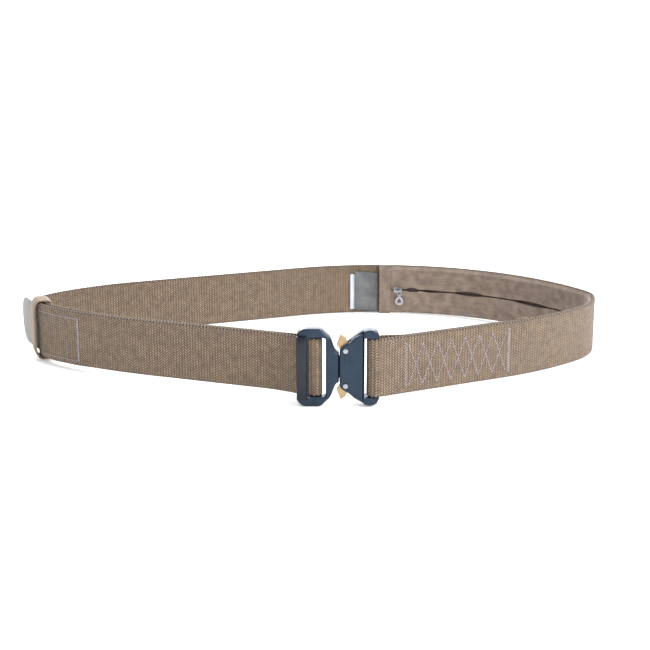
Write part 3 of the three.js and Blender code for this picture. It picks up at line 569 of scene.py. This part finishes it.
def build_keeper():
    """An elastic loop, as wide as the elastic, hanging a little turned from the strap."""
    _, _, _, x, y, _, _ = next(part for part in strap.parts if part[0] == "keeper_arc")
    heading = math.radians(KEEPER["heading"])
    start = (x - KEEPER["back"] * math.cos(heading), y - KEEPER["back"] * math.sin(heading))
    axis = Route(start, KEEPER["heading"], [("axis", None, KEEPER["width"])])
    path = keeper_section()
    count = len(path)
    stations = np.linspace(0, KEEPER["width"], 31)
    swell = np.sin(np.linspace(0, math.pi, len(stations))) ** 0.25
    thin_edge = 0.55  # the elastic's thickness at its edges, as a share
    ridge_height, ridge_pitch = 0.05, 1.3
    rings = []
    for side in (1, -1):
        columns = list(zip(stations, swell))[::side]
        for station, full in columns:
            reach = KEEPER["wall"] / 2 * (thin_edge + (1 - thin_edge) * full) * side
            out = reach + ridge_height * math.cos(2 * math.pi * station / ridge_pitch)
            rings.append(np.stack([np.full(count, station), path[:, 0] + path[:, 2] * out,
                                   path[:, 1] + path[:, 3] * out], axis=1))
    points = np.concatenate(rings)
    faces = []
    for here in range(len(rings)):
        after = (here + 1) % len(rings)
        for j in range(count):
            k = (j + 1) % count
            faces.append((here * count + j, here * count + k, after * count + k, after * count + j))
    x, y = axis.points(points[:, 0], points[:, 1])
    along = np.tile(np.arange(count) * KEEPER_SPACING, len(rings))
    weave = np.stack([points[:, 0], along, np.ones(len(points))], axis=1)
    keeper = add_object("elastic_keeper", to_row(x, y, points[:, 2]), faces, keeper_cloth,
                        weave=weave)
    face_outward(keeper)
    placed(keeper, "keeper", "keeper_elastic", "keeper_loop")


def dense_loop(corners, spacing):
    """The closed path through the corners, with points added on its long straight sides."""
    path = []
    for index, here in enumerate(corners):
        after = corners[(index + 1) % len(corners)]
        length = math.hypot(after[0] - here[0], after[1] - here[1])
        steps = max(1, int(length / spacing))
        for step in range(steps):
            path.append([a + (b - a) * step / steps for a, b in zip(here, after)])
    return path


def face_outward(piece):
    work = bmesh.new()
    work.from_mesh(piece.data)
    bmesh.ops.recalc_face_normals(work, faces=work.faces)
    work.to_mesh(piece.data)
    work.free()


# ---------------------------------------------------------------- stitches


def stitch_points(run, pitch):
    """Middles and directions of the stitches along a run of (s, z) corners."""
    found = []
    for (s0, z0), (s1, z1) in zip(run, run[1:]):
        length = math.hypot(s1 - s0, z1 - z0)
        count = max(1, int(round(length / pitch)))
        angle = math.atan2(z1 - z0, s1 - s0)
        for index in range(count):
            share = (index + 0.5) / count
            found.append((s0 + (s1 - s0) * share, z0 + (z1 - z0) * share, angle,
                          length / count))
    return found


def stitches(name, route, runs, offset, material, pitch, radius, fill, seed=1):
    """Short rounded threads lying on a face, one for each stitch."""
    chance = random.Random(seed)
    around, along = 6, 5
    points, faces = [], []
    for run in runs:
        for s, z, angle, length in stitch_points(run, pitch):
            half = length * fill / 2
            turned = angle + chance.uniform(-STITCH["turn"], STITCH["turn"])
            lift = chance.uniform(STITCH["sink"], STITCH["rise"])
            base = len(points)
            for step in range(along):
                share = -1 + 2 * step / (along - 1)
                full = math.sqrt(max(0.0, 1 - share * share))
                thick = radius * (STITCH["end"] + (1 - STITCH["end"]) * full)
                for part in range(around):
                    turn = 2 * math.pi * part / around
                    across = thick * math.cos(turn)
                    points.append((s + share * half * math.cos(turned) - across * math.sin(turned),
                                   z + share * half * math.sin(turned) + across * math.cos(turned),
                                   thick * math.sin(turn) + lift))
            for step in range(along - 1):
                for part in range(around):
                    after = (part + 1) % around
                    faces.append((base + step * around + part, base + step * around + after,
                                  base + (step + 1) * around + after,
                                  base + (step + 1) * around + part))
            faces.append([base + part for part in range(around)][::-1])
            faces.append([base + (along - 1) * around + part for part in range(around)])
    points = np.array(points)
    x, y = route.points(points[:, 0], value_at(offset, points[:, 0]) + points[:, 2])
    weave = np.stack([points[:, 0], points[:, 1], np.zeros(len(points))], axis=1)
    piece = add_object(name, to_row(x, y, points[:, 1]), faces, material, weave=weave)
    face_outward(piece)
    return piece


def zigzag(start, end, low, high, count, first_high):
    run = []
    for index in range(count + 1):
        at_high = (index % 2 == 0) == first_high
        run.append((start + (end - start) * index / count, high if at_high else low))
    return run


def bar_tack(at, low, high, width, pitch):
    """Corners of a close zigzag up the webbing."""
    count = int((high - low) / pitch)
    return [(at + (width / 2 if index % 2 else -width / 2), low + (high - low) * index / count)
            for index in range(count + 1)]


def build_stitches():
    outside = THICK / 2 + THREAD_LIFT["webbing"]
    cross = [zigzag(*BOX_SEAM.values(), first_high) for first_high in (True, False)]
    box = stitches("thread_box", strap, cross, outside, grey_thread, pitch=2.2, radius=0.3,
                   fill=0.86)
    beside = 2  # distance of the bar tacks from the box
    tacks = [bar_tack(BOX_SEAM["start"] - beside, 4, 34, width=1.2, pitch=1.5),
             bar_tack(BOX_SEAM["end"] + beside, 4, 34, width=1.5, pitch=0.8)]
    ends = stitches("thread_tacks", strap, tacks, outside, grey_thread, pitch=1.6, radius=0.32,
                    fill=0.95, seed=2)
    front, back = POCKET["start"], POCKET["end"]
    edges = [[(front - 1, 3), (front - 1, 35)],
             [(front, SEAM["bottom"]), (back, SEAM["bottom"])],
             [(front, SEAM["top"]), (back, SEAM["top"])]]
    edge = stitches("thread_pocket_edge", strap, edges, outside - 0.05, brown_thread,
                    pitch=2.6, radius=0.2, fill=0.7, seed=3)
    placed(joined("thread_front", [box, ends, edge]), "belt", "webbing")

    start, end = (tail_reach + TAIL_SEAM[side] for side in ("start", "end"))
    runs = [[(start, TAIL_SEAM[side]), (end, TAIL_SEAM[side])] for side in ("high", "low")]
    runs.append(bar_tack(end + 0.5, 3, 33.5, width=1.8, pitch=0.75))
    placed(stitches("thread_tail", tail, runs, lambda s: tail_offset(s) + outside, grey_thread,
                    pitch=2.2, radius=0.27, fill=0.85, seed=4), "male_end", "webbing")


# ---------------------------------------------------------------- pocket, zip and labels

# Where the slit gapes: distance along the strap, half length and height of each opening.
GAPES = [(366.0, 5.5, 2.6), (352.0, 8.0, 1.2), (319.0, 12.0, 2.4), (265.5, 16.0, 2.2)]
FOLD_LINE = {"upper": 30.0, "lower": 9.0}  # heights of the soft folds along the pocket's fabric
# The slit's waves: height, length and shift of each, fading out before the slider's place.
WANDER = {"until": 367, "fade": 20, "waves": ((0.15, 15.0, 0.0), (0.09, 7.3, 1.0))}
# The wrinkles' waves: how many, and the ranges that each takes its measures from.
CREASES = {"waves": 12, "length": (7, 26), "slope": (-0.9, 0.9), "patch": (14, 38)}
# How far the pocket fabric stands off, and the distances over which that fades.
PUFF = {"wrinkle": 1.9, "sunk": -0.45, "seam_reach": 3.0, "seam_hold": 0.15,
        "opened": 0.45, "opened_reach": 5.0,
        "fold": 0.55, "fold_reach": 1.3, "fold_wave": 0.8, "fold_length": 21.0,
        "back_end": 372, "back_fade": 12, "front_end": 114, "front_fade": 8}
# The most that the fabric stands off beside the slit, and away from it.
SLIDER_ROOM = {"beside": 0.2, "more": 3.0, "half": 2.8, "fade": 3.0}


def gape(s):
    """Half the slit's height."""
    total = np.full(np.shape(s), POCKET["slit"])
    for middle, half, height in GAPES:
        near = np.clip(1 - ((s - middle) / half) ** 2, 0, 1)
        total = total + near * height / 2
    return total


def wander(s):
    """The slit's line rises and falls a little."""
    away = smooth((WANDER["until"] - s) / WANDER["fade"])
    return away * sum(rise * np.sin(s / length + shift)
                      for rise, length, shift in WANDER["waves"])


def sewn_edge(z):
    """1 along the pocket's top and bottom edges, which are sewn down on the strap; 0 between."""
    return (smooth((z - SEWN["top"]) / SEWN["width"])
            + smooth((SEWN["bottom"] - z) / SEWN["width"]))


def creases(s, z, seed):
    """Slanting wrinkles and soft dents, from a few fixed waves."""
    chance = random.Random(seed)
    total = np.zeros(np.shape(s))
    for _ in range(CREASES["waves"]):
        length = chance.uniform(*CREASES["length"])
        slope = chance.uniform(*CREASES["slope"])
        phase = chance.uniform(0, 2 * math.pi)
        patch = 0.5 + 0.5 * np.sin(s / chance.uniform(*CREASES["patch"]) + chance.uniform(0, 6))
        total += patch * np.sin((s + slope * z) * 2 * math.pi / length + phase)
    return total / CREASES["waves"]


def build_pocket():
    bottom, top = POCKET["bottom"], POCKET["top"]
    seams = {"upper": (SEAM["top"], SEAM["above_zip"], SEAM["hem"]), "lower": (SEAM["bottom"],)}
    for side, low, high, seed in (
            ("upper", lambda s: MIDDLE + wander(s) + gape(s), top, 5),
            ("lower", bottom, lambda s: MIDDLE + wander(s) - gape(s), 9)):

        def relief(s, z, face, side=side, seed=seed):
            held = np.ones(np.shape(s))
            for seam in seams[side]:
                held = held * smooth(np.abs(z - seam) / PUFF["seam_reach"] + PUFF["seam_hold"])
            near_slit = np.exp(-((z - MIDDLE) / PUFF["opened_reach"]) ** 2)
            opened = (gape(s) - POCKET["slit"]) * near_slit * PUFF["opened"]
            calm = (smooth((PUFF["back_end"] - s) / PUFF["back_fade"])
                    * smooth((s - PUFF["front_end"]) / PUFF["front_fade"]))
            from_fold = z - FOLD_LINE[side] - PUFF["fold_wave"] * np.sin(s / PUFF["fold_length"])
            fold = PUFF["fold"] * np.exp(-(from_fold / PUFF["fold_reach"]) ** 2)
            wrinkled = np.maximum(PUFF["wrinkle"] * creases(s, z, seed) * held, PUFF["sunk"])
            past_slider = (np.abs(z - MIDDLE) - SLIDER_ROOM["half"]) / SLIDER_ROOM["fade"]
            slider_room = SLIDER_ROOM["beside"] + SLIDER_ROOM["more"] * smooth(past_slider)
            moved = np.minimum(calm * (wrinkled + opened + fold), slider_room)
            moved = moved * (1 - np.clip(sewn_edge(z), 0, 1))
            return np.where(face == 0, 0.0, np.where(face < 0, moved, -moved))

        sheet = ribbon(f"pocket_{side}", strap, POCKET["start"], POCKET["end"], pocket_cloth,
                       offset=-POCKET["offset"], thick=POCKET["thick"], bottom=low, top=high,
                       step=0.8, rows=34, relief=relief, squareness=1.0,
                       lean=lambda z: SEWN["panel"] * sewn_edge(z))
        placed(sheet, "belt", "pocket_fabric", f"pocket_panel_{side}")
    for side, node in (("front", POCKET["start"]), ("back", POCKET["end"])):
        strip = ribbon(f"pocket_end_{side}", strap, node - STRIP["width"] / 2,
                       node + STRIP["width"] / 2, pocket_cloth, offset=-STRIP["offset"],
                       thick=STRIP["thick"], bottom=-0.4, top=HEIGHT + 0.4, step=0.5, rows=34,
                       lean=lambda z: SEWN["strip"] * sewn_edge(z))
        placed(strip, "belt", "pocket_fabric", f"pocket_strip_{side}")

    inside = -(POCKET["offset"] + POCKET["thick"] / 2 + THREAD_LIFT["panel"])
    front, back = POCKET["start"] + 6, POCKET["end"] - 6
    lines = [[(front, SEAM["top"]), (back, SEAM["top"])],
             [(front, SEAM["bottom"]), (back, SEAM["bottom"])],
             [(ZIP["start"], SEAM["above_zip"]), (back, SEAM["above_zip"])],
             [(ZIP["start"], SEAM["below_zip"]), (back, SEAM["below_zip"])]]
    seam = stitches("seam", strap, lines, inside, tan_thread, pitch=2.4, radius=0.22,
                    fill=0.72, seed=6)
    aside = STRIP_SEAM["from_middle"]
    rows = [[(at, STRIP_SEAM["low"]), (at, STRIP_SEAM["high"])]
            for at in (POCKET["end"] - aside, POCKET["end"] + aside, POCKET["start"] - aside)]
    ends = stitches("ends", strap, rows, -(STRIP["offset"] + THREAD_LIFT["strip"]), tan_thread,
                    pitch=2.4, radius=0.22, fill=0.72, seed=7)
    placed(joined("thread_pocket", [seam, ends]), "belt", "pocket_fabric")


def coil(name, height, hand):
    """A nylon coil along the zip, as a helix of round wire."""
    wire = COIL["wire"]
    start, end = ZIP["start"] + COIL["start"], ZIP["end"] - COIL["end"]
    turns = int((end - start) / COIL["pitch"])
    per_turn, around = 10, 5
    count = turns * per_turn + 1
    angle = np.arange(count) * 2 * math.pi / per_turn * hand
    s = np.linspace(start, end, count)
    section = np.arange(around) * 2 * math.pi / around
    reach = COIL["radius"] + wire * np.cos(section)[None, :]
    points_s = s[:, None] + wire * np.sin(section)[None, :]
    offset = -COIL["offset"] + reach * np.cos(angle)[:, None]
    z = height + reach * np.sin(angle)[:, None]
    x, y = strap.points(points_s, offset)
    piece = add_object(name, to_row(x, y, z), grid_faces(count, around), coil_nylon)
    face_outward(piece)
    return piece


def build_zip():
    for side, sign in (("upper", 1), ("lower", -1)):
        edges = sorted((MIDDLE + sign * TAPE["near"], MIDDLE + sign * TAPE["far"]))
        tape = ribbon(f"tape_{side}", strap, ZIP["start"], ZIP["end"], tape_cloth,
                      offset=-TAPE["offset"], thick=TAPE["thick"], bottom=edges[0],
                      top=edges[1], step=1.0, rows=6)
        placed(tape, "belt", "zip_tape", f"zip_tape_{side}")
        teeth = coil(f"coil_{side}", MIDDLE + sign * COIL["height"], sign)
        placed(teeth, "belt", "zip_coil", f"zip_coil_{side}")


def build_labels():
    """Two blank folded labels; the grey one hangs in front of the white one, a little askew."""
    tilt_about, longest = 9, 22
    curl_height, curl_length = 0.12, 6.0
    for name, node, offset, width, low, high, material, tilt in (
            ("label_white", "care_label", 1.7, 22.0, 3.0, 31.0, white_label, 0.0),
            ("label_grey", "blank_label", 2.5, 18.5, 2.0, 32.5, grey_label, 0.09)):

        def level(edge, tilt=tilt):
            return lambda s: edge + tilt * (s - LABEL_START - tilt_about)

        def curl(s, z, face):
            away = (s - LABEL_START) / longest
            bend = curl_height * np.sin(z / curl_length) * away
            return np.where(face == 0, 0, np.where(face < 0, bend, -bend))

        label = ribbon(name, strap, LABEL_START, LABEL_START + width, material, offset=-offset,
                       thick=0.5, bottom=level(low), top=level(high), step=0.5, rows=24,
                       relief=curl)
        placed(label, "labels", node, node)


# ---------------------------------------------------------------- metal parts


def refined(node, name, material, bevel, slot, body):
    """The frame's own shape with its edges eased."""
    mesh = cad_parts[node].data.copy()
    work = bmesh.new()
    work.from_mesh(mesh)
    bmesh.ops.remove_doubles(work, verts=work.verts, dist=EASING["weld"])
    bmesh.ops.dissolve_limit(work, angle_limit=math.radians(EASING["flat"]), verts=work.verts,
                             edges=work.edges)
    work.to_mesh(mesh)
    work.free()
    mesh.materials.clear()
    mesh.materials.append(material)
    piece = bpy.data.objects.new(name, mesh)
    bpy.context.scene.collection.objects.link(piece)
    easing = piece.modifiers.new("easing", "BEVEL")
    easing.width = bevel * METRES
    easing.segments = EASING["segments"]
    easing.limit_method = "ANGLE"
    easing.angle_limit = math.radians(EASING["edge"])
    easing.use_clamp_overlap = True
    graph = bpy.context.evaluated_depsgraph_get()
    finished = bpy.data.meshes.new_from_object(piece.evaluated_get(graph))
    piece.modifiers.clear()
    piece.data = finished
    finished.shade_smooth()
    finished.set_sharp_from_angle(angle=math.radians(EASING["sharp"]))
    return placed(piece, body, slot, node)


def build_metal():
    for node, name, material, bevel, slot, body in (
            ("male_frame", "buckle_male", anodised, 0.22, "buckle_body", "male_end"),
            ("adjuster_bar", "buckle_slider_bar", anodised, 0.15, "buckle_body", "adjuster"),
            ("female_housing", "buckle_female", anodised, 0.22, "buckle_body", "belt"),
            ("female_cover", "buckle_cover", anodised, 0.2, "buckle_body", "belt"),
            ("clip_upper", "spring_clip_upper", gold, 0.2, "clip_metal", "clip_upper"),
            ("clip_lower", "spring_clip_lower", gold, 0.2, "clip_metal", "clip_lower"),
            ("rivet_upper", "rivet_head_upper", steel, 0.2, "bright_steel", "belt"),
            ("rivet_lower", "rivet_head_lower", steel, 0.2, "bright_steel", "belt"),
            ("zip_slider", "slider", steel, 0.12, "bright_steel", "zip_slider"),
            ("zip_pull_ring", "slider_ring", steel, 0.12, "bright_steel", "zip_ring"),
            ("zip_pull_tab", "slider_tab", steel, 0.12, "bright_steel", "zip_pull")):
        piece = refined(node, name, material, bevel, slot, body)
        if node == "male_frame":
            gloss_left_bar(piece)
    for node in ("clip_spring_upper", "clip_spring_lower", "zip_stop_end", "zip_stop_start"):
        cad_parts[node].data.materials.clear()
        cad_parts[node].data.materials.append(steel)


def gloss_left_bar(piece):
    """The bar that the webbing leaves by is polished."""
    piece.data.materials.append(glossy)
    edge = (BUCKLE[0] + LEFT_BAR_EDGE + STAND.x) * METRES
    for face in piece.data.polygons:
        if face.center.x < edge:
            face.material_index = 1


# ---------------------------------------------------------------- stage


def build_stage():
    mesh = bpy.data.meshes.new("floor")
    reach = 40.0
    mesh.from_pydata([(-reach, -reach, 0), (reach, -reach, 0), (reach, reach, 0),
                      (-reach, reach, 0)], [], [(0, 1, 2, 3)])
    floor = bpy.data.objects.new("floor", mesh)
    bpy.context.scene.collection.objects.link(floor)
    shader = Shader("floor", 0.9)
    tone = shader.between(shader.noise(3.0, 2.0), 0.3, 0.7)
    shader.bsdf.inputs["Emission Color"].default_value = (1, 1, 1, 1)
    shader.bsdf.inputs["Emission Strength"].default_value = 0.25
    mesh.materials.append(shader.finish(shader.mix(tone, (0.90, 0.90, 0.90), (0.93, 0.93, 0.93))))

    build_world()
    # Name, place and size in metres, and watts.
    for name, place, size, power in (
            ("key", (1.5, -1.0, 1.3), 0.9, 44.0),
            ("fill", (-1.3, -1.0, 0.9), 1.2, 1.0),
            ("top", (0.1, 0.25, 1.8), 1.6, 12.0),
            ("back", (0.0, 2.2, 0.75), 1.6, 26.0)):
        light = bpy.data.objects.new(name, bpy.data.lights.new(name, "AREA"))
        light.data.size = size
        light.data.energy = power
        light.location = place
        light.rotation_euler = (Vector((0, 0, 0.02)) - Vector(place)).to_track_quat(
            "-Z", "Y").to_euler()
        bpy.context.scene.collection.objects.link(light)


def build_world():
    """Brighter overhead and behind than in front."""
    world = bpy.data.worlds.new("studio")
    world.use_nodes = True
    tree = world.node_tree
    background = tree.nodes["Background"]
    background.inputs[0].default_value = (0.95, 0.975, 1.0, 1)
    place = tree.nodes.new("ShaderNodeTexCoord")
    parts = tree.nodes.new("ShaderNodeSeparateXYZ")
    tree.links.new(place.outputs["Generated"], parts.inputs[0])
    fades = []
    for axis, low, high, dim, bright in ((2, 0.0, 0.9, 0.45, 0.95), (1, 0.0, 0.9, 0.0, 1.3)):
        fade = tree.nodes.new("ShaderNodeMapRange")
        for index, value in enumerate((low, high, dim, bright), start=1):
            fade.inputs[index].default_value = value
        tree.links.new(parts.outputs[axis], fade.inputs[0])
        fades.append(fade.outputs[0])
    total = tree.nodes.new("ShaderNodeMath")
    for index, fade in enumerate(fades):
        tree.links.new(fade, total.inputs[index])
    tree.links.new(total.outputs[0], background.inputs[1])
    bpy.context.scene.world = world


def build_camera():
    """Level with the belt's own lean, 15 degrees down along its short side."""
    camera = bpy.data.objects.new("camera", bpy.data.cameras.new("camera"))
    camera.data.sensor_width = CAMERA["sensor"]
    camera.data.lens = CAMERA["lens"]
    camera.data.clip_start = 0.05
    camera.data.clip_end = 200.0
    camera.location = (TO_ROW @ Vector(CAMERA["place"])) * METRES
    camera.rotation_euler = (math.radians(90 - CAMERA["pitch"]) - LEAN, 0, 0)
    bpy.context.scene.collection.objects.link(camera)
    bpy.context.scene.camera = camera
    bpy.context.scene.view_settings.view_transform = "Standard"


build_camera()
build_stage()
build_strap()
build_tail()
build_keeper()
build_stitches()
build_pocket()
build_zip()
build_labels()
build_metal()
